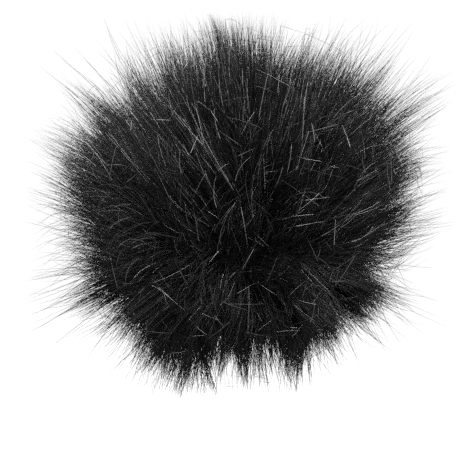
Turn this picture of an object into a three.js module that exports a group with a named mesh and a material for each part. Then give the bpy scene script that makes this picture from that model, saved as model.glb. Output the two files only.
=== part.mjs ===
// A furry windscreen for a hand-held recorder whose capsules sit in a cage on top of a neck.
// Long-pile fur panels are sewn together over a foam liner, a mesh lining faces the cavity, and a gathered
// hem with an elastic loop in it closes the mouth round the recorder's neck.
// Millimetres, +Z up. The origin is the centre of the mouth, in the plane of the hem's lower edge, and the
// front faces -Y.

import * as THREE from "three";

// The cavity and its lining.
const CAVITY_RADIUS = 27; // clears a capsule cage 50 mm across
const CAVITY_TOP = 57;
const CAVITY_SHOULDER = 22; // below this the cavity narrows to the mouth
const LINING = 1.2;

// The mouth and its hem, a folded channel of fabric with the elastic inside.
const MOUTH_RADIUS = 20;
const HEM_THICKNESS = 5.4;
const HEM_HEIGHT = 11;
const HEM_FABRIC = 1.2;
const STRETCH = 10; // how far each half of the hem moves outwards when the mouth is pulled open
const ELASTIC_THICKNESS = 1.2;
const ELASTIC_WIDTH = 7;

// The knitted backing of the fur, measured on its inner face.
const CROWN_HEIGHT = 72;
const SHELL_RADIUS = 41;
const WAIST_HEIGHT = 42; // where the shell is widest
const SHELL_POWERS = [3, 2.6]; // how square its profile is above the waist and below it

// The tips of the standing pile.
const PILE_TOP = 118;
const PILE_RADIUS = 75;
const PILE_WAIST = 62;
const PILE_FOOT = -14;
const PILE_FOOT_RADIUS = 38;
const PILE_POWERS = [2.1, 1.6];

// Seams, as places along the profile in degrees: 90 is the middle of the crown and -90 the hem.
const CROWN_SEAM = 48;
const BASE_SEAM = -38;
const TAPE_WIDTH = 8;
const TAPE_THICKNESS = 0.8;
const TAPE_HALF = 5.5; // half of a ring seam's tape, along the profile
const JOINED_AT = 90; // where a strip that is wrapped round is joined end to end, in degrees from +X
const JOINED_GAP = 0.3; // half the gap there, in degrees
const FOAM_CROWN_FOOT = 26; // where the foam's crown meets its wall
const FOAM_BASE_TOP = -34; // where the foam's base meets its wall
const FOAM_BASE_FOOT = -80;
const FOAM_GAP = 0.5; // half the gap between two pieces of foam

const GAP = 0.3; // between any two pieces that touch
const SEAM_GAP_DEGREES = 0.35; // half the gap between two fur panels, along the profile
const SIDE_SEAM_DEGREES = 0.5; // half the gap between the hem's two halves, round the mouth
const TURN_STEP = 10; // degrees turned by each facet
const HEM_OUTER = MOUTH_RADIUS + HEM_THICKNESS;
const HEM_SWEEP = HEM_OUTER + STRETCH + 1; // nothing below the shell reaches inside this radius
const SEAM_ROOM = TAPE_THICKNESS + 2 * GAP; // between the backing and the foam
const BACKING_FOOT = HEM_HEIGHT + 2 * GAP + HEM_FABRIC; // the backing's inner edge, above the hem

const radians = THREE.MathUtils.degToRad;
const point = (radius, height) => new THREE.Vector2(radius, height);

const look = (color, roughness) => new THREE.MeshStandardMaterial({ color, roughness, metalness: 0 });
const FUR = look(0x0d0d0e, 0.55);
const TAPE = look(0x1b1b1d, 0.85);
const FOAM = look(0x2b2b2e, 0.95);
const MESH_LINING = look(0x18181b, 0.8);
const HEM = look(0x121214, 0.85);
const ELASTIC = look(0x202024, 0.6);

// One quarter of a superellipse that starts at its side (0 degrees) and ends at its top (90 degrees).
function quarter(degrees, power) {
  const share = (value) => Math.max(value, 0) ** (2 / power);
  return [share(Math.cos(radians(degrees))), share(Math.sin(radians(degrees)))];
}

// The backing's inner face, at a place along the profile.
function backing(place) {
  if (place >= 0) {
    const [out, up] = quarter(place, SHELL_POWERS[0]);
    return point(SHELL_RADIUS * out, WAIST_HEIGHT + (CROWN_HEIGHT - WAIST_HEIGHT) * up);
  }
  const [out, down] = quarter(-place, SHELL_POWERS[1]);
  const spread = SHELL_RADIUS - HEM_OUTER;
  return point(HEM_OUTER + spread * out, WAIST_HEIGHT - (WAIST_HEIGHT - BACKING_FOOT) * down);
}

// The tips of the pile that grows from the same place.
function tips(place) {
  if (place >= 0) {
    const [out, up] = quarter(place, PILE_POWERS[0]);
    return point(PILE_RADIUS * out, PILE_WAIST + (PILE_TOP - PILE_WAIST) * up);
  }
  const [out, down] = quarter(-place, PILE_POWERS[1]);
  const spread = PILE_RADIUS - PILE_FOOT_RADIUS;
  return point(PILE_FOOT_RADIUS + spread * out, PILE_WAIST - (PILE_WAIST - PILE_FOOT) * down);
}

// The backing's profile moved into the windscreen by a distance.
function inset(place, distance) {
  const step = 0.5;
  const above = backing(Math.min(place + step, 90));
  const below = backing(Math.max(place - step, -90));
  const along = above.sub(below).normalize();
  const moved = backing(place).add(point(-along.y, along.x).multiplyScalar(distance));
  return point(Math.max(moved.x, 0), moved.y);
}

// Points of a profile at even steps between two places.
function along(profile, from, to, steps) {
  return Array.from({ length: steps + 1 }, (_, i) => profile(from + ((to - from) * i) / steps));
}

// Turns a closed outline of (radius, height) points about Z, and caps its ends unless it goes all the way.
function turned(outline, from = 0, to = 360) {
  const whole = to - from === 360;
  const steps = Math.max(1, Math.round((to - from) / TURN_STEP));
  const loop = THREE.ShapeUtils.isClockWise(outline) ? [...outline].reverse() : outline;
  const count = loop.length;
  const positions = [];
  for (let i = 0; i <= steps; i++) {
    const angle = radians(from + ((to - from) * (whole && i === steps ? 0 : i)) / steps);
    for (const p of loop) positions.push(p.x * Math.cos(angle), p.x * Math.sin(angle), p.y);
  }
  const faces = [];
  for (let i = 0; i < steps; i++) {
    for (let j = 0; j < count; j++) {
      const k = (j + 1) % count;
      const [a, b, c, d] = [i * count + j, i * count + k, (i + 1) * count + k, (i + 1) * count + j];
      if (loop[j].x > 0) faces.push(a, d, b);
      if (loop[k].x > 0) faces.push(b, d, c);
    }
  }
  if (!whole) {
    for (const [a, b, c] of THREE.ShapeUtils.triangulateShape(loop, [])) {
      faces.push(a, b, c);
      faces.push(steps * count + c, steps * count + b, steps * count + a);
    }
  }
  const geometry = new THREE.BufferGeometry();
  geometry.setAttribute("position", new THREE.Float32BufferAttribute(positions, 3));
  geometry.setIndex(faces);
  geometry.computeVertexNormals();
  return geometry;
}

const windscreen = new THREE.Group();
windscreen.name = "furry_windscreen";

function piece(name, geometry, material) {
  const mesh = new THREE.Mesh(geometry, material);
  mesh.name = name;
  windscreen.add(mesh);
}

// The four sides of the cover, by the direction that each faces, in degrees from +X.
const SIDES = { right: 0, back: 90, left: 180, front: 270 };

// A fur panel between two places along the profile: its backing, and the pile out to the tips.
function furOutline(top, bottom, steps, foot = []) {
  return [...along(backing, top, bottom, steps), ...foot, ...along(tips, bottom, top, steps)];
}

function addFur() {
  const belowCrown = CROWN_SEAM - SEAM_GAP_DEGREES;
  const aboveBase = BASE_SEAM + SEAM_GAP_DEGREES;
  piece("fur_crown", turned(furOutline(90, CROWN_SEAM + SEAM_GAP_DEGREES, 6)), FUR);
  for (const [side, facing] of Object.entries(SIDES)) {
    const half = 45 - SEAM_GAP_DEGREES;
    const panel = turned(furOutline(belowCrown, aboveBase, 8), facing - half, facing + half);
    piece(`fur_side_${side}`, panel, FUR);
  }
  // The base panel's pile hangs clear of the hem, so that the mouth can be stretched inside it.
  const underside = HEM_HEIGHT + GAP;
  const innerTips = PILE_FOOT + 2;
  const foot = [point(HEM_OUTER, underside), point(HEM_SWEEP, underside), point(HEM_SWEEP, innerTips)];
  piece("fur_base", turned(furOutline(BASE_SEAM - SEAM_GAP_DEGREES, -90, 6, foot)), FUR);
}

// A strip of tape under the backing between two places along the profile.
function tapeOutline(top, bottom, steps) {
  const outer = (place) => inset(place, GAP);
  const inner = (place) => inset(place, GAP + TAPE_THICKNESS);
  return [...along(outer, top, bottom, steps), ...along(inner, bottom, top, steps)];
}

function addSeamTapes() {
  piece("seam_tape_crown", turned(tapeOutline(CROWN_SEAM + TAPE_HALF, CROWN_SEAM - TAPE_HALF, 3)), TAPE);
  piece("seam_tape_base", turned(tapeOutline(BASE_SEAM + TAPE_HALF, BASE_SEAM - TAPE_HALF, 3)), TAPE);
  const clear = TAPE_HALF + 1; // an upright tape stops short of the ring tapes
  const upright = tapeOutline(CROWN_SEAM - clear, BASE_SEAM + clear, 8);
  const spread = THREE.MathUtils.radToDeg(TAPE_WIDTH / 2 / SHELL_RADIUS);
  for (const [side, facing] of Object.entries(SIDES)) {
    const seam = facing + 45;
    piece(`seam_tape_${side}`, turned(upright, seam - spread, seam + spread), TAPE);
  }
}

// The outside of the lining where it narrows from the cavity to the mouth.
function funnelRadius(height) {
  const [foot, top] = [HEM_HEIGHT + GAP, CAVITY_SHOULDER - GAP];
  const share = (height - foot) / (top - foot);
  return MOUTH_RADIUS + LINING + (CAVITY_RADIUS - MOUTH_RADIUS) * share;
}

function addFoam() {
  const outer = (place) => inset(place, SEAM_ROOM);
  const wall = CAVITY_RADIUS + LINING + GAP;
  const roof = CAVITY_TOP + LINING + GAP;
  const crown = [...along(outer, 90, FOAM_CROWN_FOOT + FOAM_GAP, 6), point(wall, roof), point(0, roof)];
  piece("foam_crown", turned(crown), FOAM);
  // The wall is one strip wrapped round and glued end to end at the back.
  const strip = [
    ...along(outer, FOAM_CROWN_FOOT - FOAM_GAP, FOAM_BASE_TOP + FOAM_GAP, 6),
    point(wall, CAVITY_SHOULDER + GAP),
    point(wall, roof - GAP),
  ];
  piece("foam_wall", turned(strip, JOINED_AT + JOINED_GAP, JOINED_AT + 360 - JOINED_GAP), FOAM);
  const neck = BACKING_FOOT + SEAM_ROOM;
  const ring = [
    ...along(outer, FOAM_BASE_TOP - FOAM_GAP, FOAM_BASE_FOOT, 5),
    point(funnelRadius(neck) + 2 * GAP, neck),
    point(funnelRadius(CAVITY_SHOULDER - GAP) + 2 * GAP, CAVITY_SHOULDER - GAP),
  ];
  piece("foam_base", turned(ring), FOAM);
}

function addLining() {
  const outer = CAVITY_RADIUS + LINING;
  const disc = [
    point(0, CAVITY_TOP),
    point(outer, CAVITY_TOP),
    point(outer, CAVITY_TOP + LINING),
    point(0, CAVITY_TOP + LINING),
  ];
  piece("lining_crown", turned(disc), MESH_LINING);
  const tube = [
    point(CAVITY_RADIUS, CAVITY_SHOULDER),
    point(outer, CAVITY_SHOULDER),
    point(outer, CAVITY_TOP - GAP),
    point(CAVITY_RADIUS, CAVITY_TOP - GAP),
  ];
  piece("lining_wall", turned(tube, JOINED_AT + JOINED_GAP, JOINED_AT + 360 - JOINED_GAP), MESH_LINING);
  const [foot, top] = [HEM_HEIGHT + GAP, CAVITY_SHOULDER - GAP];
  const funnel = [
    point(CAVITY_RADIUS, top),
    point(MOUTH_RADIUS, foot),
    point(funnelRadius(foot), foot),
    point(funnelRadius(top), top),
  ];
  piece("lining_base", turned(funnel), MESH_LINING);
}

// The hem's section is one fold of fabric: up the outside, turned in at the top, and down the inside.
function hemOutline() {
  const slit = 0.4; // where the turned-in edge meets the outside of the fold
  const [inner, outer] = [MOUTH_RADIUS, HEM_OUTER];
  return [
    point(inner, 0),
    point(outer, 0),
    point(outer, HEM_HEIGHT),
    point(outer - HEM_FABRIC, HEM_HEIGHT),
    point(outer - HEM_FABRIC, HEM_FABRIC),
    point(inner + HEM_FABRIC, HEM_FABRIC),
    point(inner + HEM_FABRIC, HEM_HEIGHT - HEM_FABRIC),
    point(outer - HEM_FABRIC - slit, HEM_HEIGHT - HEM_FABRIC),
    point(outer - HEM_FABRIC - slit, HEM_HEIGHT),
    point(inner, HEM_HEIGHT),
  ];
}

function band(innerRadius, thickness, width) {
  const middle = HEM_HEIGHT / 2;
  const [low, high, outer] = [middle - width / 2, middle + width / 2, innerRadius + thickness];
  return [point(innerRadius, low), point(outer, low), point(outer, high), point(innerRadius, high)];
}

// The hem is two lengths of folded fabric that meet at the sides, each with its own length of elastic, whose
// ends are caught in the side seams.
function addHem() {
  const elastic = band(MOUTH_RADIUS + HEM_FABRIC + 2 * GAP, ELASTIC_THICKNESS, ELASTIC_WIDTH);
  const halfTurn = 90 - SIDE_SEAM_DEGREES;
  for (const half of ["front", "back"]) {
    const facing = SIDES[half];
    piece(`hem_${half}`, turned(hemOutline(), facing - halfTurn, facing + halfTurn), HEM);
    piece(`elastic_${half}`, turned(elastic, facing - halfTurn, facing + halfTurn), ELASTIC);
  }
}

addFur();
addSeamTapes();
addFoam();
addLining();
addHem();

export default windscreen;
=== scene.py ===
"""The looks of a furry windscreen: long black pile on six knitted panels, over a foam and mesh liner, with a
gathered elastic hem. Metres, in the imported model's own frame: +Z up, front at -Y, origin in the mouth."""

import bmesh
import bpy
import numpy as np
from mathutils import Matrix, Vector
from mathutils.kdtree import KDTree


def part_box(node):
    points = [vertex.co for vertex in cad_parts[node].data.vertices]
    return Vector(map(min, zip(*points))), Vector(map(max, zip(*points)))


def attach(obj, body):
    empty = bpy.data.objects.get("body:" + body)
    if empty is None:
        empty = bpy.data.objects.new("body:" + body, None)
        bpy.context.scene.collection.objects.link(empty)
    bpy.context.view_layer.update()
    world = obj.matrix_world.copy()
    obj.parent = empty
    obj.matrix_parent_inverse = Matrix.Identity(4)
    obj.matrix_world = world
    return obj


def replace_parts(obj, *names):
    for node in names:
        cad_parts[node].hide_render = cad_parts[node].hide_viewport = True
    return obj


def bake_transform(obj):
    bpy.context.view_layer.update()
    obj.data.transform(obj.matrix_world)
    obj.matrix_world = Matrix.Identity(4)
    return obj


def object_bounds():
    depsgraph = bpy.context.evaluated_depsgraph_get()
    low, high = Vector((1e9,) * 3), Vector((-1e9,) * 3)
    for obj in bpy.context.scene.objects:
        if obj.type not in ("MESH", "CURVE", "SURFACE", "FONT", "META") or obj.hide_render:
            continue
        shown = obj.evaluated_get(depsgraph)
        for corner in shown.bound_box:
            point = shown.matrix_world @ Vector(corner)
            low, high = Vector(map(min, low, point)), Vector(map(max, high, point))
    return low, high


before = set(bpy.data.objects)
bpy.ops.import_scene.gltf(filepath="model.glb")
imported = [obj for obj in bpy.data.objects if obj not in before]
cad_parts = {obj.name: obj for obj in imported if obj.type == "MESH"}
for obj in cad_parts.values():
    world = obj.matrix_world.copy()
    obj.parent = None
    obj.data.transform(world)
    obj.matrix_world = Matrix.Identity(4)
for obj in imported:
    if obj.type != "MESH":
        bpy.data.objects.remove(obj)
cad_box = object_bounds()

MM = 0.001
FULL_TURN = 2 * np.pi

# The camera looks straight on, through a long lens.
VIEW_CENTRE = (-0.002, 0.0, 0.043)
VIEW_WIDTH = 0.194
VIEW_DISTANCE = 1.5
SENSOR_WIDTH = 36.0
FLOOR_HEIGHT = -0.073  # well below the pile
FLOOR_HALF = 4.0
FLOOR_GLOW = 0.75
WORLD_LIGHT = 0.35

# Seams, as places along the profile in degrees: 90 is the middle of the crown and -90 the mouth.
CROWN_SEAM = 48
BASE_SEAM = -38
PARTING = -15  # above this the pile is combed up, and below it down
SIDES = {"right": 0, "back": 90, "left": 180, "front": 270}
HANGING = -64  # the pile that grows below this hangs round the mouth
KNIT = 1.2 * MM  # the thickness of the backing
TAPE_ROOM = 1.4 * MM  # between the backing and the foam
HEM_THICK = 5.4 * MM  # across the hem's channel
HEM_TO_BACKING = 1.8 * MM  # from the top of the hem to the foot of the backing
AROUND = 30 * MM  # the radius that the cloths' patterns are laid out at, round the axis


def extent(node):
    """The lowest and highest corners of a CAD node, as arrays."""
    low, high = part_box(node)
    return np.array(low), np.array(high)


# The shell's sizes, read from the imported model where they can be, and those of the profile of the tips.
SHELL_RADIUS = extent("foam_wall")[1][0] + TAPE_ROOM
CROWN_HEIGHT = extent("foam_crown")[1][2] + TAPE_ROOM
HEM_OUTER = -extent("hem_front")[0][1]
HEM_HEIGHT = extent("hem_front")[1][2]
MOUTH_RADIUS = HEM_OUTER - HEM_THICK
BACKING_FOOT = HEM_HEIGHT + HEM_TO_BACKING
WAIST_HEIGHT = 42 * MM
PILE_TOP = cad_box[1][2]
PILE_FOOT = -23 * MM
PILE_RADIUS = 72 * MM
PILE_WAIST = 60 * MM
PILE_FOOT_RADIUS = 18 * MM
BACKING_POWERS = (3, 2.6)  # how square the profiles are, above and below the waist
PILE_POWERS = (2.3, 1.75)


def quarter(degrees, power):
    """A point of a quarter of a superellipse, from its side at 0 degrees to its top at 90."""
    angle = np.radians(degrees)
    share = 2 / power
    return np.clip(np.cos(angle), 0, 1) ** share, np.clip(np.sin(angle), 0, 1) ** share


def profile(place, side, top, foot, foot_radius, waist, powers):
    """(radius, height) at places along a profile: a wide dome over a waist, drawn in below it."""
    place = np.asarray(place, float)
    out, up = quarter(np.clip(place, 0, 90), powers[0])
    inwards, down = quarter(np.clip(-place, 0, 90), powers[1])
    above = np.stack([side * out, waist + (top - waist) * up], -1)
    below = np.stack([foot_radius + (side - foot_radius) * inwards, waist - (waist - foot) * down], -1)
    return np.where((place >= 0)[..., None], above, below)


def backing(place):
    """Points of the profile of the knitted backing, whose inner face this is."""
    return profile(place, SHELL_RADIUS, CROWN_HEIGHT, BACKING_FOOT, HEM_OUTER, WAIST_HEIGHT, BACKING_POWERS)


def tips(place):
    """Points of the profile that the tips of the hair lie on."""
    return profile(place, PILE_RADIUS, PILE_TOP, PILE_FOOT, PILE_FOOT_RADIUS, PILE_WAIST, PILE_POWERS)


def backing_normal(place):
    """The way out of the backing, as (radius, height)."""
    step = 0.5
    along = backing(np.minimum(place + step, 90)) - backing(np.maximum(place - step, -90))
    normal = np.stack([along[..., 1], -along[..., 0]], -1)
    return normal / np.linalg.norm(normal, axis=-1, keepdims=True)


def offset_backing(place, distance):
    return backing(place) + backing_normal(place) * distance


def spun(radius_height, azimuth):
    """Points of a profile turned to their azimuths, in radians."""
    r, z = radius_height[..., 0], radius_height[..., 1]
    return np.stack([r * np.cos(azimuth), r * np.sin(azimuth), z], -1)


# ---------------------------------------------------------------- mesh helpers


def new_object(name, mesh):
    obj = bpy.data.objects.new(name, mesh)
    bpy.context.scene.collection.objects.link(obj)
    return obj


def mesh_from(name, points, faces, slots=None, materials=()):
    """An object from arrays of points and of faces that all have the same number of corners."""
    mesh = bpy.data.meshes.new(name)
    count, corners = faces.shape
    mesh.vertices.add(len(points))
    mesh.vertices.foreach_set("co", np.ascontiguousarray(points, np.float32).ravel())
    mesh.loops.add(count * corners)
    mesh.loops.foreach_set("vertex_index", np.ascontiguousarray(faces, np.int32).ravel())
    mesh.polygons.add(count)
    mesh.polygons.foreach_set("loop_start", np.arange(0, count * corners, corners, dtype=np.int32))
    for material in materials:
        mesh.materials.append(material)
    if slots is not None:
        mesh.polygons.foreach_set("material_index", np.ascontiguousarray(slots, np.int32))
    mesh.update(calc_edges=True)
    mesh.shade_smooth()
    return new_object(name, mesh)


# ---------------------------------------------------------------- the pile

# Each kind of hair: how many grow on a square centimetre, its points and its radius, how far it is drawn
# into its lock, how far it reaches to the tips' profile, how far its tip strays, whether it lies over the
# pile, its shares of the first three fibres, and how readily it gets a painted highlight.
PILE = {
    "under": {"per_cm2": 100, "points": 6, "radius": 0.12 * MM, "clump": 0.55, "reach": (0.50, 0.86),
              "stray": 2.2 * MM, "over": 0, "tones": (0.72, 0.28, 0), "painted_glint_rate": 0},
    "guard": {"per_cm2": 62, "points": 8, "radius": 0.13 * MM, "clump": 0.84, "reach": (0.80, 1.02),
              "stray": 1.6 * MM, "over": 0, "tones": (0.55, 0.45, 0), "painted_glint_rate": 0},
    "gloss": {"per_cm2": 30, "points": 10, "radius": 0.175 * MM, "clump": 0.82, "reach": (0.80, 1.0),
              "stray": 1.3 * MM, "over": 0, "tones": (0.20, 0.80, 0), "painted_glint_rate": 0.9},
    "sheen": {"per_cm2": 11, "points": 11, "radius": 0.135 * MM, "clump": 0.45, "reach": (0.90, 1.04),
              "stray": 2.2 * MM, "over": 1, "tones": (0, 1, 0), "painted_glint_rate": 2.0},
    "long": {"per_cm2": 11, "points": 9, "radius": 0.12 * MM, "clump": 0.62, "reach": (1.0, 1.28),
             "stray": 4.0 * MM, "over": 0, "tones": (0.45, 0.55, 0), "painted_glint_rate": 0},
}
# The crossing hairs' last entry holds the shares of the painted highlight fibres along their lying stretch.
CROSSING = {"per_cm2": 6.0, "points": 10, "radius": 0.085 * MM, "painted_glint": (0.36, 0.38, 0.26)}
CROSSING_KEPT = ((-75, -45, 0, 30), (0.35, 1, 1, 0.14))  # places on the backing, and the share kept there
CROSSING_CENTRE = 48 * MM  # the height that crossing hairs lie round
CROSSING_LENGTH = (6, 20)  # the shortest, in mm, and how much longer the longest is
PAINTED_GLINT_FIBRES = [2, 3, 4]  # the painted highlight fibres, laid on a hair's glinting stretch
# how often each painted highlight fibre is used
PAINTED_GLINT_SHARES = (0.36, 0.40, 0.24)
PAINTED_GLINT_LOCKS = ((-60, -30, -5, 30), (0.18, 0.25, 0.8, 0.9))  # places, and the locks' share of painted highlights there
BIG_LOCKS = {"per_cm2": 2.2, "length": (0.88, 1.12), "sway": 5.2 * MM}
RAGGED = 1.3  # how much more uneven the big locks are in length below the parting
LOW_LOCKS = (0.58, 0.62)  # the length of the shortest small lock below the parting, and the most it may gain
LOW_LONG = (1.00, 2.10)  # how far the long hairs below the parting reach
LOW_LONG_CLUMP = 0.22  # how far those are drawn into their locks
MUDDLE = 0.5  # how much more the locks stray at the parting
MUDDLE_HEIGHT = 12  # degrees of the profile
SMALL_LOCKS = {"per_cm2": 12, "length": (0.86, 1.08), "sway": 2.2 * MM, "clump": 0.68}
FACES_PER_PIECE = 190_000
FRIZZ = 0.4 * MM  # how far hairs wander sideways at their tips
CROSSING_FRIZZ = 0.5 * MM
PAST_BOX = (0.03, 9 * MM)  # how far hair may pass the CAD box: a share of its side, and as much more
SIDEWAYS = np.radians(15)  # how far the hair at the front and the back is combed towards the sides
SWEPT = np.radians(9)  # how far the upper hair is swept round
SWEPT_FROM = (-20, 20)  # the places between which that sets in
LIFTED = (9, -7)  # degrees that the upper hair is combed further up: at the front and back, and at the sides
COMBED_FROM = (-90, -76, -64, -38, PARTING, 0, 20, 48, 90)  # where hairs grow, as places on the backing
COMBED_TO = (-86, -70, -56, -43, -27, 4, 25, 48, 90)  # where they end, as places on the tips' profile
PARTING_NOISE = 0.32  # radians by which hairs differ in the side that they are combed to
PLACE_NOISE = 5.5  # degrees of the profile by which hairs differ in where they end
OVER_LIFT = 13  # degrees that hairs that lie over the pile end further up
HANDLE = 0.34  # of a hair's length: how far the handles of its curve reach
OVER_HANDLE = 0.24  # how much further for hairs that lie over the pile
FAN_LOW = 36  # the height on the axis, in mm, that the hair below the parting fans out from
FAN_HIGH = (18, 34)  # the same above it: at the front and back, and how much higher at the sides
BUMP_WIDTH = 0.34  # of a swell, on a sphere of radius 1
BUMPS = (  # swells of the pile: azimuth and place in degrees, and how much further the hair reaches
    (0, 38, 0.16),
    (180, 26, 0.04),
    (190, -14, 0.07),
    (345, -2, -0.03),
    (330, -30, 0.08),
    (60, 60, 0.06),
    (185, 74, 0.11),
    (350, -58, -0.26),
    (312, -60, -0.30),
    (226, -62, -0.24),
    (312, 60, 0.10),
    (232, 62, 0.06),
    (268, -76, 0.22),
    (130, 10, 0.06),
)


def combed(place, azimuth):
    """Where on the tips' profile a hair ends that grows from this place, and how far the place is from the
    parting, at 0, down to the mouth, at 1."""
    ends = np.interp(place, COMBED_FROM, COMBED_TO)
    lift = LIFTED[0] * np.sin(azimuth) ** 2 + LIFTED[1] * np.cos(azimuth) ** 2
    ends = ends + lift * np.sin(np.radians(2 * np.clip(ends, 0, 90)))
    return ends, np.clip((PARTING - place) / (90 + PARTING), 0, 1)


def swell(place, azimuth):
    """How much further than the profile the hair reaches."""
    here = spun(np.stack([np.cos(np.radians(place)), np.sin(np.radians(place))], -1), azimuth)
    more = np.ones(len(place))
    for bump_azimuth, bump_place, amount in BUMPS:
        a, b = np.radians(bump_azimuth), np.radians(bump_place)
        centre = np.array([np.cos(b) * np.cos(a), np.cos(b) * np.sin(a), np.sin(b)])
        more += amount * np.exp(-np.sum((here - centre) ** 2, axis=1) / (2 * BUMP_WIDTH**2))
    return more


def bands(top, bottom):
    """Places from bottom to top, and the area of the backing between neighbours, for each radian of turn."""
    grid = np.linspace(bottom, top, 200)
    line = backing(grid)
    return grid, np.linalg.norm(np.diff(line, axis=0), axis=1) * (line[1:, 0] + line[:-1, 0]) / 2


def scatter(rng, count, top, bottom, start, stop):
    """Random places and azimuths, even over the backing between two places and two azimuths in degrees."""
    grid, areas = bands(top, bottom)
    total = np.concatenate([[0], np.cumsum(areas)])
    places = np.interp(rng.random(count) * total[-1], total, grid)
    return places, np.radians(rng.uniform(start, stop, count))


def panel_area(top, bottom, start, stop):
    """Square centimetres of backing between two places and two azimuths in degrees."""
    _, areas = bands(top, bottom)
    return areas.sum() * np.radians(stop - start) * 1e4


def unit(vectors):
    return vectors / np.maximum(np.linalg.norm(vectors, axis=-1, keepdims=True), 1e-9)


def bezier(corners, points):
    """Points along cubic curves, as (curves, points, 3)."""
    s = np.linspace(0, 1, points)[None, :, None]
    a, b, c, d = (corner[:, None] for corner in corners)
    return (1 - s) ** 3 * a + 3 * (1 - s) ** 2 * s * b + 3 * (1 - s) * s**2 * c + s**3 * d


def hair_paths(rng, places, azimuths, reach, sway, points, over=0):
    """Curved paths from roots on the backing to tips: they leave it steeply, then fan out. With over at 1
    they rise through the pile and then lie along the top of it."""
    count = len(places)
    roots = spun(offset_backing(places, KNIT * 0.8), azimuths)
    normals = spun(backing_normal(places), azimuths)
    ends, fall = combed(np.clip(places + rng.normal(0, PLACE_NOISE, count), -90, 90), azimuths)
    low = np.sqrt(fall)
    ends = ends + over * OVER_LIFT * np.cos(np.radians(ends)) * np.where(fall > 0, -0.3, 1)
    parted = azimuths + rng.normal(0, PARTING_NOISE, count)
    swept = SWEPT * np.interp(places, SWEPT_FROM, (0, 1))
    turned_to = azimuths - SIDEWAYS * np.sin(2 * parted) - swept
    reached = spun(tips(ends), turned_to)
    share = reach * swell(ends, turned_to)
    span = (reached - roots) * share[:, None] + sway
    length = np.linalg.norm(span, axis=1, keepdims=True)
    straight = unit(span)
    rise = np.array([0, 0, 0.3]) * (1 - low)[:, None]
    leaving = unit(normals * (0.45 + over) + straight * 0.55 + rise)
    first = roots + leaving * length * (HANDLE + OVER_HANDLE * over)
    fan_height = np.where(fall > 0, FAN_LOW, FAN_HIGH[0] + FAN_HIGH[1] * np.cos(azimuths) ** 2) * MM
    fanned = roots + span
    fanned[:, 2] -= fan_height
    lean = rng.normal(0, 0.10, (count, 3))
    last = roots + span - unit(straight * 0.55 + unit(fanned) * 0.45 + lean) * length * HANDLE
    return bezier((roots, first, last, roots + span), points)


def crossing_paths(rng, places, azimuths, points):
    """Stiff single hairs that rise through the pile and lie across it."""
    count = len(places)
    roots = spun(offset_backing(places, KNIT * 0.8), azimuths)
    ends, _ = combed(places, azimuths)
    above = spun(tips(ends), azimuths)
    share = rng.uniform(0.90, 1.06, count) * swell(ends, azimuths)
    over = roots + (above - roots) * share[:, None]
    outward = unit(over - np.array([0, 0, CROSSING_CENTRE]))
    across = unit(np.cross(outward, rng.normal(0, 1, (count, 3))))
    length = (CROSSING_LENGTH[0] + CROSSING_LENGTH[1] * rng.beta(1.2, 2.2, (count, 1))) * MM
    start = over - across * length * 0.4
    s = np.linspace(0, 1, points - 2)[None, :, None]
    bow = rng.normal(0.2, 0.5, (count, 1)) * MM
    lying = start[:, None] + (across * length)[:, None] * s
    lying = lying + outward[:, None] * bow[:, None] * 4 * s * (1 - s)
    lying = lying - outward[:, None] * (length**2 * 4)[:, None] * s**2
    rise = (roots + (start - roots) * 0.6)[:, None]
    return np.concatenate([roots[:, None], rise, lying], 1)


def kept_in(curves):
    """The curves, with those that leave the room round the CAD model drawn back towards their roots."""
    low, high = np.array(cad_box[0]), np.array(cad_box[1])
    room = PAST_BOX[0] * (high - low) + PAST_BOX[1]
    roots = curves[:, :1]
    beyond_high = (high + room - roots[:, 0]) / np.maximum((curves - roots).max(1), 1e-6)
    beyond_low = (roots[:, 0] - low + room) / np.maximum((roots - curves).max(1), 1e-6)
    share = np.minimum(1, np.minimum(beyond_high, beyond_low).min(1))
    return roots + (curves - roots) * share[:, None, None]


def frizz(rng, curves, amount):
    """Adds a slow sideways wander that grows from root to tip."""
    count, points, _ = curves.shape
    s = np.linspace(0, 1, points)[None, :, None]
    phase = rng.uniform(0, FULL_TURN, (count, 1, 3))
    rate = rng.uniform(0.2, 0.8, (count, 1, 3)) * FULL_TURN
    return curves + amount * s * np.sin(rate * s + phase)


def nearest(points, centres):
    """The index of the centre nearest to each point."""
    tree = KDTree(len(centres))
    for i, centre in enumerate(centres):
        tree.insert(centre, i)
    tree.balance()
    return np.array([tree.find(p)[1] for p in points])


def strand_mesh(rng, curves, radius):
    """Closed three-sided strands along the curves, pointed at the tip: all points, all triangles, and how
    many triangles each strand has."""
    count, steps, _ = curves.shape
    along = unit(np.gradient(curves, axis=1))
    across = rng.normal(0, 1, (count, 1, 3))
    side = unit(np.cross(along, across))
    up = np.cross(side, along)
    s = np.linspace(0, 1, steps)[None, : steps - 1]
    width = radius * (1 - 0.78 * s**1.6) * rng.uniform(0.75, 1.25, (count, 1))
    rings = []
    for k in range(3):
        angle = FULL_TURN * k / 3
        bulge = np.cos(angle) * side[:, :-1] + np.sin(angle) * up[:, :-1]
        rings.append(curves[:, :-1] + width[..., None] * bulge)
    ring_points = np.stack(rings, 2).reshape(count, -1, 3)
    points = np.concatenate([ring_points, curves[:, -1:]], 1)
    per = points.shape[1]
    tri = [(0, 2, 1)]
    for i in range(steps - 2):
        for k in range(3):
            a, b = 3 * i + k, 3 * i + (k + 1) % 3
            tri += [(a, b, b + 3), (a, b + 3, a + 3)]
    last = 3 * (steps - 2)
    tri += [(last + k, last + (k + 1) % 3, per - 1) for k in range(3)]
    tri = np.array(tri)
    faces = tri[None] + (np.arange(count) * per)[:, None, None]
    return points.reshape(-1, 3), faces.reshape(-1, 3), len(tri)


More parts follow.
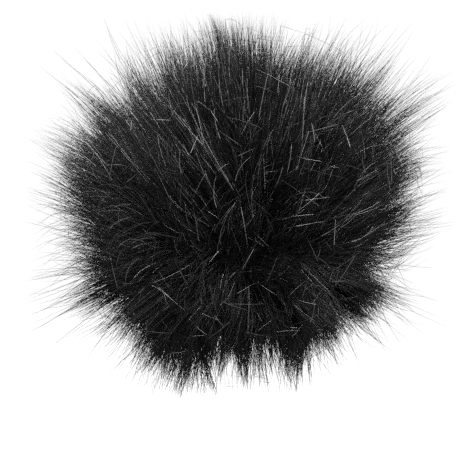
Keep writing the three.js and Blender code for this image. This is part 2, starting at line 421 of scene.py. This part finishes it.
def clumped(rng, curves, leads, home, strength):
    """The curves drawn towards the leading hair of their lock, more and more towards the tip."""
    s = np.linspace(0, 1, curves.shape[1])[None, :, None]
    pull = np.clip(strength * s**1.25 * rng.uniform(0.7, 1.15, (len(curves), 1, 1)), 0, 0.96)
    own = np.linalg.norm(curves[:, -1] - curves[:, 0], axis=1)
    led = np.linalg.norm(leads[home, -1] - leads[home, 0], axis=1)
    share = np.clip(own / led, 0.3, 1.3)[:, None, None]
    followed = leads[home, :1] + (leads[home] - leads[home, :1]) * share
    return curves * (1 - pull) + followed * pull


def lock_of(rng, style, count, bounds):
    """Locks of hair: their places, azimuths, lengths and sways."""
    places, azimuths = scatter(rng, count, *bounds)
    muddle = 1 + MUDDLE * np.exp(-(((places - PARTING) / MUDDLE_HEIGHT) ** 2))
    sway = rng.normal(0, style["sway"], (count, 3)) * muddle[:, None]
    return [places, azimuths, rng.uniform(*style["length"], count), sway]


def painted_glint_stretches(rng, count, share, middle):
    """The stretch of each hair that gets a painted highlight, as shares of its length, and its fibre there.
    """
    centre = middle + rng.normal(0, 0.14, count)
    half = rng.uniform(0.12, 0.44, count)
    half[rng.random(count) >= share] = -1
    return centre - half, centre + half, rng.choice(PAINTED_GLINT_FIBRES, count, p=PAINTED_GLINT_SHARES)


def shaded(base, painted_glint, steps, each):
    """The fibre of every face of every strand: its own tone, and a painted highlight along its glinting
    stretch.
    """
    along = np.minimum((np.arange(each) - 1) // 6, steps - 3) / (steps - 2)
    start, stop, bright = (values[:, None] for values in painted_glint)
    return np.where((along >= start) & (along <= stop), bright, base[:, None]).ravel()


def strands(name, rng, curves, style, base, painted_glint, materials):
    """Pieces of at most FACES_PER_PIECE faces that hold these hairs."""
    made = []
    per_piece = FACES_PER_PIECE // (6 * style["points"] - 8)
    for first in range(0, len(curves), per_piece):
        part = slice(first, first + per_piece)
        points, faces, each = strand_mesh(rng, curves[part], style["radius"])
        shades = shaded(base[part], [values[part] for values in painted_glint], style["points"], each)
        piece = mesh_from(f"{name}_{first // per_piece + 1}", points, faces, shades, materials)
        made.append(piece)
    return made


def grow(name, top, bottom, start, stop, seed, materials, thick=1.0, big_locks=1.0):
    """The pile of one stretch of the backing, as pieces. thick multiplies its hairs, and big_locks its big
    locks."""
    rng = np.random.default_rng(seed)
    bounds = (top, bottom, start, stop)
    area = panel_area(*bounds)
    big = lock_of(rng, BIG_LOCKS, max(3, int(area * BIG_LOCKS["per_cm2"] * big_locks)), bounds)
    big[2] = 1 + (big[2] - 1) * np.where(big[0] < PARTING, RAGGED, 1)
    small = lock_of(rng, SMALL_LOCKS, max(9, int(area * SMALL_LOCKS["per_cm2"])), bounds)
    shortest, longer = LOW_LOCKS
    low_lengths = shortest + longer * rng.beta(1.1, 2.4, len(small[0]))
    small[2] = np.where(small[0] < PARTING, low_lengths, small[2])
    small_roots = spun(backing(small[0]), small[1])
    joined = nearest(small_roots, spun(backing(big[0]), big[1]))
    small[2] = small[2] * big[2][joined]
    small[3] = small[3] + big[3][joined]
    # Painted highlights: how many hairs of each small lock get one, more on the upper locks, and where along
    # them it sits.
    painted_glint_share = rng.beta(0.8, 0.8, len(small[0])) * np.interp(small[0], *PAINTED_GLINT_LOCKS)
    painted_glint_middle = rng.uniform(0.45, 1.0, len(small[0]))
    made = []
    for kind, style in PILE.items():
        count = int(area * style["per_cm2"] * thick)
        places, azimuths = scatter(rng, count, *bounds)
        home = nearest(spun(backing(places), azimuths), small_roots)
        steady = np.random.default_rng(seed + 1)
        big_leads = hair_paths(steady, *big, style["points"])
        small_leads = hair_paths(steady, *small, style["points"])
        small_leads = clumped(steady, small_leads, big_leads, joined, SMALL_LOCKS["clump"])
        reach = small[2][home] * rng.uniform(*style["reach"], count)
        clump = style["clump"]
        if kind == "long":
            reach = np.where(places < PARTING, rng.uniform(*LOW_LONG, count), reach)
            clump = np.where(places < PARTING, LOW_LONG_CLUMP, clump)[:, None, None]
        sway = small[3][home] + rng.normal(0, style["stray"], (count, 3))
        curves = hair_paths(rng, places, azimuths, reach, sway, style["points"], style["over"])
        curves = clumped(rng, curves, small_leads, home, clump)
        curves = kept_in(frizz(rng, curves, FRIZZ))
        base = rng.choice(3, count, p=style["tones"])
        # A painted highlight along a stretch of some hairs, standing in for glinting.
        painted_glint = painted_glint_stretches(rng, count, style["painted_glint_rate"] * painted_glint_share[home], painted_glint_middle[home])
        made += strands(f"{name}_{kind}", rng, curves, style, base, painted_glint, materials)
    count = int(area * CROSSING["per_cm2"])
    places, azimuths = scatter(rng, count, *bounds)
    curves = crossing_paths(rng, places, azimuths, CROSSING["points"])
    curves = kept_in(frizz(rng, curves, CROSSING_FRIZZ))
    curves = curves[rng.random(count) < np.interp(places, *CROSSING_KEPT)]
    count = len(curves)
    # Crossing hairs get a painted highlight along most of their lying stretch.
    painted_glint_from = rng.uniform(0.24, 0.5, count)
    painted_glint_to = rng.uniform(0.7, 1.1, count)
    painted_glint = (painted_glint_from, painted_glint_to, rng.choice(PAINTED_GLINT_FIBRES, count, p=CROSSING["painted_glint"]))
    made += strands(f"{name}_crossing", rng, curves, CROSSING, np.ones(count, int), painted_glint, materials)
    return made


# ---------------------------------------------------------------- materials


def fibre(name, colour, roughness):
    material = bpy.data.materials.new(name)
    material.use_nodes = True
    shader = material.node_tree.nodes["Principled BSDF"]
    shader.inputs["Base Color"].default_value = (*colour, 1)
    shader.inputs["Roughness"].default_value = roughness
    shader.inputs["IOR"].default_value = 1.5
    shader.inputs["Specular IOR Level"].default_value = 0.4
    material.diffuse_color = (*colour, 1)
    return material


# Five constant fibre tones: black and dark are the hair's own, and charcoal, grey and light are painted
# highlights on the hairs' glinting stretches.
FIBRES = [
    fibre("fibre_black", (0.0035, 0.0035, 0.0038), 0.5),
    fibre("fibre_dark", (0.011, 0.011, 0.0115), 0.42),
    fibre("painted_highlight_charcoal", (0.050, 0.050, 0.052), 0.38),
    fibre("painted_highlight_grey", (0.150, 0.150, 0.154), 0.36),
    fibre("painted_highlight_pale", (0.450, 0.450, 0.456), 0.34),
]


def maths(nodes, links, operation, a, b=None):
    """The socket of a sum on numbers or sockets."""
    node = nodes.new("ShaderNodeMath")
    node.operation = operation
    for socket, value in zip(node.inputs, (a, b)):
        if isinstance(value, (int, float)):
            socket.default_value = value
        elif value is not None:
            links.new(value, socket)
    return node.outputs[0]


def waves(nodes, links, value, pitch, shift=0.0):
    """A wave from 0 to 1 with one crest every pitch metres."""
    angle = maths(nodes, links, "MULTIPLY", value, FULL_TURN / pitch)
    wave = maths(nodes, links, "SINE", maths(nodes, links, "ADD", angle, shift))
    return maths(nodes, links, "MULTIPLY", maths(nodes, links, "ADD", wave, 1.0), 0.5)


def cloth(name, dark, light, roughness, pattern, bump, sheen=0.2):
    """A woven, knitted or foamed finish. pattern(nodes, links, along, up, place) gives the socket of a
    height from 0 to 1, which also blends the two colours: the low parts take the dark one, as painted shade.
    along and up are metres round the axis and up it, and place is the point itself."""
    material = fibre(name, light, roughness)
    nodes, links = material.node_tree.nodes, material.node_tree.links
    shader = nodes["Principled BSDF"]
    shader.inputs["Sheen Weight"].default_value = sheen
    shader.inputs["Sheen Roughness"].default_value = 0.5
    place = nodes.new("ShaderNodeTexCoord").outputs["Object"]
    split = nodes.new("ShaderNodeSeparateXYZ")
    links.new(place, split.inputs[0])
    turn = maths(nodes, links, "ARCTAN2", split.outputs["Y"], split.outputs["X"])
    along = maths(nodes, links, "MULTIPLY", turn, AROUND)
    height = pattern(nodes, links, along, split.outputs["Z"], place)
    cloud = nodes.new("ShaderNodeTexNoise")
    cloud.inputs["Scale"].default_value = 140
    cloud.inputs["Detail"].default_value = 3
    links.new(place, cloud.inputs["Vector"])
    # Painted shade: the colour is darker where the pattern is low, and a noise varies it at random.
    shade = maths(nodes, links, "MULTIPLY", height, maths(nodes, links, "ADD", cloud.outputs[0], 0.5))
    mix = nodes.new("ShaderNodeMix")
    mix.data_type = "RGBA"
    mix.inputs["A"].default_value = (*dark, 1)
    mix.inputs["B"].default_value = (*light, 1)
    links.new(shade, mix.inputs["Factor"])
    links.new(mix.outputs["Result"], shader.inputs["Base Color"])
    relief = nodes.new("ShaderNodeBump")
    relief.inputs["Distance"].default_value = bump
    relief.inputs["Strength"].default_value = 0.8
    links.new(height, relief.inputs["Height"])
    links.new(relief.outputs["Normal"], shader.inputs["Normal"])
    return material


def plain_weave(pitch):
    """Threads that pass over and under each other."""

    def pattern(nodes, links, along, up, _place):
        warp, weft = waves(nodes, links, along, pitch), waves(nodes, links, up, pitch)
        over = maths(nodes, links, "MULTIPLY", warp, weft)
        warp, weft = waves(nodes, links, along, pitch, np.pi), waves(nodes, links, up, pitch, np.pi)
        under = maths(nodes, links, "MULTIPLY", warp, weft)
        return maths(nodes, links, "MAXIMUM", over, under)

    return pattern


def knit_loops(wale, course):
    """Columns of V-shaped loops."""

    def pattern(nodes, links, along, up, _place):
        angle = maths(nodes, links, "MULTIPLY", along, np.pi / wale)
        lean = maths(nodes, links, "ABSOLUTE", maths(nodes, links, "SINE", angle))
        risen = maths(nodes, links, "ADD", up, maths(nodes, links, "MULTIPLY", lean, course * 0.8))
        swollen = maths(nodes, links, "POWER", lean, 0.5)
        return maths(nodes, links, "MULTIPLY", waves(nodes, links, risen, course), swollen)

    return pattern


def ribs(rib, pick):
    """Raised ribs round the piece, crossed by fine threads."""

    def pattern(nodes, links, along, up, _place):
        fine = maths(nodes, links, "MULTIPLY", waves(nodes, links, along, pick), 0.35)
        fine = maths(nodes, links, "ADD", fine, 0.65)
        return maths(nodes, links, "MULTIPLY", waves(nodes, links, up, rib), fine)

    return pattern


def cells(scale, randomness=1.0):
    """Round holes packed together: foam, or an open mesh."""

    def pattern(nodes, links, _along, _up, place):
        holes = nodes.new("ShaderNodeTexVoronoi")
        holes.inputs["Scale"].default_value = scale
        holes.inputs["Randomness"].default_value = randomness
        links.new(place, holes.inputs["Vector"])
        rims = maths(nodes, links, "MULTIPLY", holes.outputs["Distance"], 1.7)
        return maths(nodes, links, "MINIMUM", rims, 1.0)

    return pattern


# Each finish: name, dark colour (painted shade in the pattern's low parts), light colour, roughness,
# pattern, depth of bump and sheen.
KNIT_CLOTH = cloth(
    "backing_knit", (0.004, 0.004, 0.0045), (0.020, 0.020, 0.021), 0.85,
    knit_loops(0.9 * MM, 0.7 * MM), 0.15 * MM,
)
TAPE_CLOTH = cloth(
    "binding_tape", (0.006, 0.006, 0.007), (0.030, 0.030, 0.032), 0.8,
    plain_weave(0.7 * MM), 0.1 * MM,
)
FOAM_SKIN = cloth(
    "open_cell_foam", (0.008, 0.008, 0.009), (0.055, 0.055, 0.058), 0.95,
    cells(1500), 0.25 * MM, 0.0,
)
MESH_CLOTH = cloth(
    "mesh_lining", (0.002, 0.002, 0.002), (0.028, 0.028, 0.030), 0.8,
    cells(1000, 0.15), 0.25 * MM,
)
HEM_CLOTH = cloth(
    "hem_knit", (0.003, 0.003, 0.003), (0.018, 0.018, 0.019), 0.85,
    knit_loops(0.7 * MM, 0.55 * MM), 0.12 * MM, 0.35,
)
ELASTIC_CLOTH = cloth(
    "woven_elastic", (0.006, 0.006, 0.006), (0.040, 0.040, 0.042), 0.55,
    ribs(0.9 * MM, 0.4 * MM), 0.12 * MM,
)
THREAD = cloth(
    "sewing_thread", (0.008, 0.008, 0.008), (0.035, 0.035, 0.036), 0.5,
    ribs(0.3 * MM, 0.3 * MM), 0.04 * MM,
)


# ---------------------------------------------------------------- sewn and foam pieces


def rounded(outline, radius, steps=3):
    """A closed outline with its corners cut to curves, apart from those on the axis."""
    outline = np.asarray(outline, float)
    before, after = np.roll(outline, 1, axis=0) - outline, np.roll(outline, -1, axis=0) - outline
    result = []
    for corner, back, on in zip(outline, before, after):
        if corner[0] < 1e-6:
            result.append(corner)
        else:
            a = corner + back * min(0.45, radius / np.linalg.norm(back))
            b = corner + on * min(0.45, radius / np.linalg.norm(on))
            for t in np.linspace(0, 1, steps):
                result.append((1 - t) ** 2 * a + 2 * t * (1 - t) * corner + t * t * b)
    return np.array(result)


def turned(name, outline, start, stop, material, shape=None, step=2.5):
    """A closed outline of (radius, height) points turned round the axis from start to stop, in degrees, with
    a cut every step degrees. shape moves the points, given their radii, heights and azimuths."""
    whole = stop - start >= 360
    count = len(outline)
    turns = max(2, int(round((stop - start) / step)))
    azimuth = np.radians(np.linspace(start, stop, turns + 1))[: turns if whole else turns + 1]
    radius = np.repeat(outline[None, :, 0], len(azimuth), axis=0)
    height = np.repeat(outline[None, :, 1], len(azimuth), axis=0)
    angle = np.repeat(azimuth[:, None], count, axis=1)
    if shape:
        radius, height = shape(radius, height, angle)
    points = np.stack([radius * np.cos(angle), radius * np.sin(angle), height], -1).reshape(-1, 3)
    area = np.sum(outline[:, 0] * np.roll(outline[:, 1], -1) - np.roll(outline[:, 0], -1) * outline[:, 1])
    order = (0, 1, 2, 3) if area < 0 else (3, 2, 1, 0)
    faces = []
    for i in range(turns):
        here, there = i * count, (i + 1) % len(azimuth) * count
        for j in range(count):
            k = (j + 1) % count
            quad = (here + j, here + k, there + k, there + j)
            faces.append(tuple(quad[n] for n in order))
    if not whole:
        ends = [list(range(count)), [turns * count + j for j in range(count)]]
        faces.append(ends[0][::-1] if area < 0 else ends[0])
        faces.append(ends[1] if area < 0 else ends[1][::-1])
    mesh = bpy.data.meshes.new(name)
    mesh.from_pydata(points.tolist(), [], faces)
    mesh.materials.append(material)
    work = bmesh.new()
    work.from_mesh(mesh)
    bmesh.ops.remove_doubles(work, verts=work.verts, dist=1e-6)
    bmesh.ops.recalc_face_normals(work, faces=work.faces)
    work.to_mesh(mesh)
    work.free()
    mesh.shade_smooth()
    mesh.set_sharp_from_angle(angle=np.radians(60))
    return new_object(name, mesh)


PANELS = {
    "crown": (90, CROWN_SEAM, 0, 360),
    "base": (BASE_SEAM, -90, 0, 360),
    **{f"side_{side}": (CROWN_SEAM, BASE_SEAM, facing - 45, facing + 45) for side, facing in SIDES.items()},
}  # the seams or ends above and below each panel, and the azimuths it starts and stops at, in degrees
HALVES = {"front": (180, 360, -1), "back": (0, 180, 1)}  # the azimuths of each half, and its way along Y
SEAM_GAP = 0.35  # degrees that each panel stops short of its seams


def add_backings():
    """The knitted cloth that the pile is rooted in: one panel for each CAD panel, and two for the base."""
    for name, (top, bottom, start, stop) in PANELS.items():
        top = top if top == 90 else top - SEAM_GAP
        bottom = bottom if bottom == -90 else bottom + SEAM_GAP
        places = np.linspace(top, bottom, 26)
        outline = np.concatenate([backing(places), offset_backing(places, KNIT)[::-1]])
        outline[:, 0] = np.maximum(outline[:, 0], 0)
        if name == "base":
            for half, (half_start, half_stop, _) in HALVES.items():
                panel = turned(f"backing_base_{half}", outline, half_start, half_stop, KNIT_CLOTH)
                open_with(panel)
                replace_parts(panel, "fur_base")
        else:
            gap = SEAM_GAP if stop - start < 360 else 0
            panel = turned(f"backing_{name}", outline, start + gap, stop - gap, KNIT_CLOTH)
            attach(panel, "root")
            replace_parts(panel, f"fur_{name}")


FOAM_OFFSET = -TAPE_ROOM - 0.2 * MM  # from the backing's inner face to the foam


def uneven(amount, seed):
    """Slow bumps in and out, as cut foam has."""
    rng = np.random.default_rng(seed)
    terms = [(rng.integers(2, 11), rng.uniform(60, 240), rng.uniform(0, FULL_TURN)) for _ in range(7)]

    def shape(radius, height, angle):
        bump = sum(np.sin(n * angle + k * height + phase) for n, k, phase in terms) / len(terms)
        return np.where(radius > 1e-6, radius + amount * bump, 0), height

    return shape


def foam_pad(name, corners, start, stop, seed):
    outline = rounded(np.concatenate(corners), 0.8 * MM)
    pad = turned(f"foam_{name}", outline, start, stop, FOAM_SKIN, uneven(0.12 * MM, seed))
    return pad


def add_foam():
    """The foam, cut to the backing outside and to the lining inside. The base's pad is in two halves."""
    wall_foot = extent("foam_wall")[0][2] + 0.1 * MM
    base_low, base_high = extent("foam_base")
    ceiling = extent("foam_crown")[0][2]
    inner = extent("lining_wall")[1][0] + 0.3 * MM
    mouth = MOUTH_RADIUS + 4 * MM

    def outside(top, bottom, points):
        return offset_backing(np.linspace(top, bottom, points), FOAM_OFFSET)

    dome = outside(90, 27, 16)
    dome[0, 0] = 0
    crown = foam_pad("crown_pad", [dome, [(inner, ceiling), (0, ceiling)]], 0, 360, 5)
    strip = [outside(25, -33, 16), [(inner, wall_foot), (inner, ceiling - 0.5 * MM)]]
    wall = foam_pad("wall_pad", strip, 90.4, 449.6, 5)
    for pad, node in ((crown, "foam_crown"), (wall, "foam_wall")):
        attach(pad, "root")
        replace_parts(pad, node)
    ring_inside = [(mouth, base_low[2] + 0.1 * MM), (inner + 0.3 * MM, base_high[2] - 1.5 * MM)]
    for half, (start, stop, _) in HALVES.items():
        pad = foam_pad(f"base_pad_{half}", [outside(-35, -78, 12), ring_inside], start, stop, 4)
        open_with(pad)
        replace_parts(pad, "foam_base")


LINING = 1.2 * MM  # the thickness of the mesh lining
TAPE_OUTER, TAPE_INNER = -0.3 * MM, -1.1 * MM  # the tape's faces, from the backing's inner face
TAPE_HALF = 4 * MM  # half the width of a tape, along an upright seam
TAPE_HALF_DEGREES = 5.5  # and along the profile, on the seams that go round


def band_outline(low, high, foot, top):
    """The outline of a band between two radii and two heights."""
    return np.array([(low, foot), (high, foot), (high, top), (low, top)])


def lining_mesh(name, outline, corner, start, stop, seed):
    outline = rounded(outline, corner)
    lining = turned(f"lining_{name}", outline, start, stop, MESH_CLOTH, uneven(0.08 * MM, seed))
    return lining


def add_lining():
    """The mesh that lines the cavity: a disc, a tube, and a funnel down to the mouth in two halves."""
    wall_low, wall_high = extent("lining_wall")
    base_low, base_high = extent("lining_base")
    crown_low, crown_high = extent("lining_crown")
    outer = wall_high[0]
    inner = outer - LINING
    disc = band_outline(0, outer, crown_low[2], crown_high[2])
    tube = band_outline(inner, outer, wall_low[2], wall_high[2])
    funnel = np.array([(inner, base_high[2]), (MOUTH_RADIUS, base_low[2]),
                       (MOUTH_RADIUS + LINING, base_low[2]), (outer, base_high[2])])
    for name, outline, start, stop in (("crown", disc, 0, 360), ("wall", tube, 90.3, 449.7)):
        lining = lining_mesh(f"{name}_mesh", outline, 0.5 * MM, start, stop, 8)
        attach(lining, "root")
        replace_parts(lining, f"lining_{name}")
    for half, (start, stop, _) in HALVES.items():
        lining = lining_mesh(f"base_mesh_{half}", funnel, 0.3 * MM, start, stop, 7)
        open_with(lining)
        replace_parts(lining, "lining_base")


def tape_outline(top, bottom):
    places = np.linspace(top, bottom, 9)
    faces = [offset_backing(places, TAPE_OUTER), offset_backing(places, TAPE_INNER)[::-1]]
    return rounded(np.concatenate(faces), 0.2 * MM)


def add_tapes():
    """Binding tape on the inner side of each seam of the backing."""
    half = TAPE_HALF_DEGREES
    spread = np.degrees(TAPE_HALF / SHELL_RADIUS)
    strips = {
        "crown": (CROWN_SEAM + half, CROWN_SEAM - half, 0, 360),
        "base": (BASE_SEAM + half, BASE_SEAM - half, 0, 360),
    }
    for side, facing in SIDES.items():
        seam = facing + 45
        strips[side] = (CROWN_SEAM - half - 1, BASE_SEAM + half + 1, seam - spread, seam + spread)
    for name, (top, bottom, start, stop) in strips.items():
        tape = turned(f"binding_{name}", tape_outline(top, bottom), start, stop, TAPE_CLOTH, step=1.5)
        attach(tape, "root")
        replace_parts(tape, f"seam_tape_{name}")


HEM_CLOTH_THICK = 1.2 * MM
HEM_SLIT = 0.4 * MM  # between the inner fold's top and the outer one, where the channel was turned and sewn
FOLDS = ((34, 0.55), (47, 0.35), (21, 0.25))  # how many gathers of each size go round, and their size


def gathers(radius, height, angle):
    """The hem's fabric drawn up by the elastic: uneven folds that run up it. Its lower edge stays flat."""
    rng = np.random.default_rng(3)
    fold = sum(np.sin(n * angle + rng.uniform(0, 6)) * size for n, size in FOLDS)
    inner = radius < MOUTH_RADIUS + 0.5 * (HEM_OUTER - MOUTH_RADIUS)
    fullness = np.sin(np.pi * np.clip(height / HEM_HEIGHT, 0.06, 0.94))
    above_edge = np.abs(height) > 0.05 * MM
    return radius + np.where(inner, 0.25, -0.55) * MM * (fold + 0.4) * fullness * above_edge, height


def hem_outline():
    """The hem cut across: a channel of folded cloth with room for the elastic."""
    inner, outer, top, thick = MOUTH_RADIUS, HEM_OUTER, HEM_HEIGHT, HEM_CLOTH_THICK
    fold = outer - thick - HEM_SLIT
    corners = [
        (inner, 0), (outer, 0), (outer, top), (outer - thick, top), (outer - thick, thick),
        (inner + thick, thick), (inner + thick, top - thick), (fold, top - thick), (fold, top), (inner, top),
    ]
    dense = []
    for a, b in zip(corners, corners[1:] + corners[:1]):
        across, up = b[0] - a[0], b[1] - a[1]
        count = max(1, int(np.hypot(across, up) / (1.3 * MM)))
        dense += [(a[0] + across * i / count, a[1] + up * i / count) for i in range(count)]
    return rounded(dense, 0.5 * MM, 2)


def stretch_with(piece):
    """Bakes the piece's placement into its mesh; nothing makes it bend with the hem."""
    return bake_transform(piece)


def open_with(piece):
    """Bakes the piece's placement into its mesh; nothing makes it open with the hem."""
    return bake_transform(piece)


STITCH_SIDES = 6  # faces round a stitch
STITCH_RINGS = 7  # rings of points along a stitch
STITCH_SHARE = 0.72  # of its pitch that a stitch shows
STITCH_RADIUS = 0.19 * MM
STITCH_LIFT = 0.22 * MM


def stitch_row(name, radius, height, start, stop, pitch):
    """A row of short thread stitches round the axis."""
    points, faces = [], []
    count = int(np.radians(stop - start) * radius / pitch)
    for i in range(count):
        middle = np.radians(start + (stop - start) * (i + 0.5) / count)
        first = len(points)
        for s in np.linspace(0, 1, STITCH_RINGS):
            angle = middle + (s - 0.5) * STITCH_SHARE * pitch / radius
            thick = STITCH_RADIUS * np.sin(np.pi * (0.12 + 0.76 * s)) ** 0.5
            lift = STITCH_LIFT * np.sin(np.pi * s)
            for turn in FULL_TURN * np.arange(STITCH_SIDES) / STITCH_SIDES:
                r = radius + lift + thick * np.cos(turn)
                points.append((r * np.cos(angle), r * np.sin(angle), height + thick * np.sin(turn)))
        for ring in range(first, len(points) - STITCH_SIDES, STITCH_SIDES):
            for k in range(STITCH_SIDES):
                a, b = ring + k, ring + (k + 1) % STITCH_SIDES
                faces.append((a, b, b + STITCH_SIDES, a + STITCH_SIDES))
        faces.append(tuple(reversed(range(first, first + STITCH_SIDES))))
        faces.append(tuple(range(len(points) - STITCH_SIDES, len(points))))
    mesh = bpy.data.meshes.new(name)
    mesh.from_pydata(points, [], faces)
    mesh.materials.append(THREAD)
    mesh.shade_smooth()
    return new_object(name, mesh)


ELASTIC_IN = 1.9 * MM  # from the mouth's edge to the elastic
ELASTIC_THICK = 1.0 * MM
ELASTIC_RIDGES = 7
ELASTIC_RIDGE = 0.12 * MM


def elastic_outline():
    """The elastic cut across: a flat band with ridges on both faces."""
    low, high = extent("elastic_front")
    levels = np.linspace(low[2], high[2], 4 * ELASTIC_RIDGES + 1)
    ridges = ELASTIC_RIDGE * np.abs(np.sin(np.linspace(0, ELASTIC_RIDGES * np.pi, len(levels))))
    inner = MOUTH_RADIUS + ELASTIC_IN
    faces = [np.stack([inner + ELASTIC_RIDGE - ridges, levels], -1),
             np.stack([inner + ELASTIC_THICK + ridges, levels], -1)[::-1]]
    return np.concatenate(faces)


def add_hem():
    """The gathered hem, its row of stitches and the elastic in it, each in two halves."""
    strap = elastic_outline()
    stitch_radius, stitch_height = HEM_OUTER - 0.15 * MM, HEM_HEIGHT - 1.4 * MM
    for half, (start, stop, _) in HALVES.items():
        hem = turned(f"gathered_hem_{half}", hem_outline(), start, stop, HEM_CLOTH, gathers, step=1.0)
        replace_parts(stretch_with(hem), f"hem_{half}")
        strip = turned(f"woven_elastic_{half}", strap, start + 0.5, stop - 0.5, ELASTIC_CLOTH, step=1.5)
        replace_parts(stretch_with(strip), f"elastic_{half}")
        row = stitch_row(f"hem_stitches_{half}", stitch_radius, stitch_height, start + 1, stop - 1, 3.0 * MM)
        stretch_with(row)


# ---------------------------------------------------------------- the studio


def add_camera():
    data = bpy.data.cameras.new("camera")
    data.sensor_width = SENSOR_WIDTH
    data.lens = SENSOR_WIDTH * VIEW_DISTANCE / VIEW_WIDTH
    data.clip_end = 50
    camera = new_object("camera", data)
    camera.location = (VIEW_CENTRE[0], -VIEW_DISTANCE, VIEW_CENTRE[2])
    camera.rotation_euler = (np.pi / 2, 0, 0)
    bpy.context.scene.camera = camera


def add_light(name, place, size, power):
    """A round soft light that points at the object."""
    data = bpy.data.lights.new(name, "AREA")
    data.shape = "DISK"
    data.size = size
    data.energy = power
    light = new_object(name, data)
    light.location = place
    aim = Vector(VIEW_CENTRE) - Vector(place)
    light.rotation_euler = aim.to_track_quat("-Z", "Y").to_euler()


def add_studio():
    """A white world that lights the object less than it shows, three soft lights and a pale floor."""
    world = bpy.data.worlds.new("studio")
    bpy.context.scene.world = world
    world.use_nodes = True
    nodes, links = world.node_tree.nodes, world.node_tree.links
    seen = nodes.new("ShaderNodeLightPath")
    strength = nodes.new("ShaderNodeMapRange")
    strength.inputs["To Min"].default_value = WORLD_LIGHT
    strength.inputs["To Max"].default_value = 1.0
    links.new(seen.outputs["Is Camera Ray"], strength.inputs["Value"])
    links.new(strength.outputs["Result"], nodes["Background"].inputs["Strength"])
    nodes["Background"].inputs["Color"].default_value = (1, 1, 1, 1)
    bpy.context.scene.view_settings.view_transform = "Standard"
    bpy.context.scene.cycles.use_denoising = False  # it smears hairs that are thinner than a pixel
    add_light("key", (0.5, -0.8, 0.9), 0.4, 22)
    add_light("fill", (-0.6, -1.0, 0.25), 0.5, 4.5)
    add_light("top", (0.0, 0.35, 1.1), 0.45, 12)
    floor = bpy.data.meshes.new("floor")
    z, h = FLOOR_HEIGHT, FLOOR_HALF
    floor.from_pydata([(-h, -h, z), (h, -h, z), (h, h, z), (-h, h, z)], [], [(0, 1, 2, 3)])
    paper = fibre("floor", (0.8, 0.8, 0.8), 0.9)
    shader = paper.node_tree.nodes["Principled BSDF"]
    shader.inputs["Emission Color"].default_value = (1, 1, 1, 1)
    shader.inputs["Emission Strength"].default_value = FLOOR_GLOW
    floor.materials.append(paper)
    ground = new_object("floor", floor)
    ground.visible_diffuse = False
    ground.visible_glossy = False


def add_pile():
    """The pile of each panel. That of the base hangs from the seam to the HANGING place, and the two halves
    below it are thicker."""
    for seed, (name, (top, bottom, start, stop)) in enumerate(PANELS.items(), 11):
        foot, big_locks = (HANGING, 3) if name == "base" else (bottom, 1)
        for piece in grow(f"pile_{name}", top, foot, start, stop, seed, FIBRES, 1.0, big_locks):
            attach(piece, "root")
            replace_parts(piece, f"fur_{name}")
    for half, (start, stop, _) in HALVES.items():
        for piece in grow(f"pile_mouth_{half}", HANGING, -90, start, stop, 31 + stop, FIBRES, 1.8, 5):
            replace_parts(stretch_with(piece), "fur_base")


add_camera()
add_studio()
add_backings()
add_foam()
add_lining()
add_tapes()
add_hem()
add_pile()
